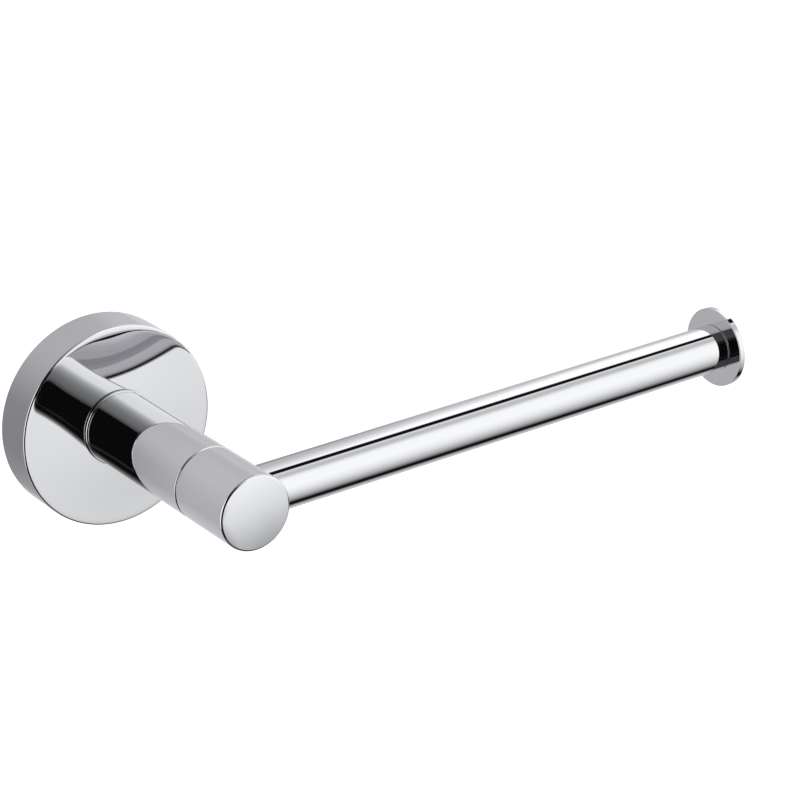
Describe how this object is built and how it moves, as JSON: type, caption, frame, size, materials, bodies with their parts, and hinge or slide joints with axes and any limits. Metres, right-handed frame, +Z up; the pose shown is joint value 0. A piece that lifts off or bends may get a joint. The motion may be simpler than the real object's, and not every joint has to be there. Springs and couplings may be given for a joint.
{
  "type": "toilet paper holder",
  "caption": "Wall-mounted single-post toilet paper holder in polished chrome: a round flange, a round post with a swivelling head, and an open-ended roll bar with a disc stop.",
  "frame": {"origin": "centre of the wall bracket's back face, which lies flat on the wall", "axes": "+Y into the wall, +X along the roll bar towards its disc stop, +Z up; the post comes out along -Y"},
  "size_m": [0.1866, 0.0802, 0.0556],
  "materials": {
    "chrome": "polished chrome plate on brass, mirror bright",
    "zinc_casting": "die-cast zinc, tumbled, dull grey",
    "plated_steel": "bright zinc-plated steel",
    "spring_steel": "blued spring steel",
    "brass": "turned brass, unplated",
    "nylon": "natural nylon"
  },
  "bodies": {
    "bracket": {"wall_bracket": "zinc_casting"},
    "holder": {"flange_cover": "chrome", "post_tube": "chrome", "post_base_plug": "brass", "post_front_plug": "brass", "post_fixing_screw": "plated_steel", "fixing_spring_washer": "spring_steel", "fixing_plain_washer": "plated_steel", "locating_pin": "plated_steel"},
    "set_screw": {"flange_set_screw": "plated_steel"},
    "arm": {"head": "chrome", "swivel_stud": "plated_steel", "swivel_thrust_washer": "nylon", "swivel_plain_washer": "plated_steel", "swivel_wave_washer": "spring_steel", "swivel_lock_nut": "plated_steel", "swivel_stop_pin": "plated_steel", "bar_tube": "chrome", "bar_root_plug": "brass", "bar_grub_screw": "plated_steel", "bar_end_plug": "brass", "end_stop_disc": "chrome"}
  },
  "joints": [
    {"name": "holder_off_bracket", "type": "slide", "parent": "bracket", "child": "holder", "axis": [0, -1, 0], "range_m": [0, 0.025]},
    {"name": "set_screw_travel", "type": "slide", "parent": "holder", "child": "set_screw", "axis": [0, 0, -1], "range_m": [0, 0.003]},
    {"name": "arm_swivel", "type": "hinge", "parent": "holder", "child": "arm", "pos_m": [0, -0.058, 0], "axis": [0, -1, 0], "range_deg": [0, 90]}
  ]
}
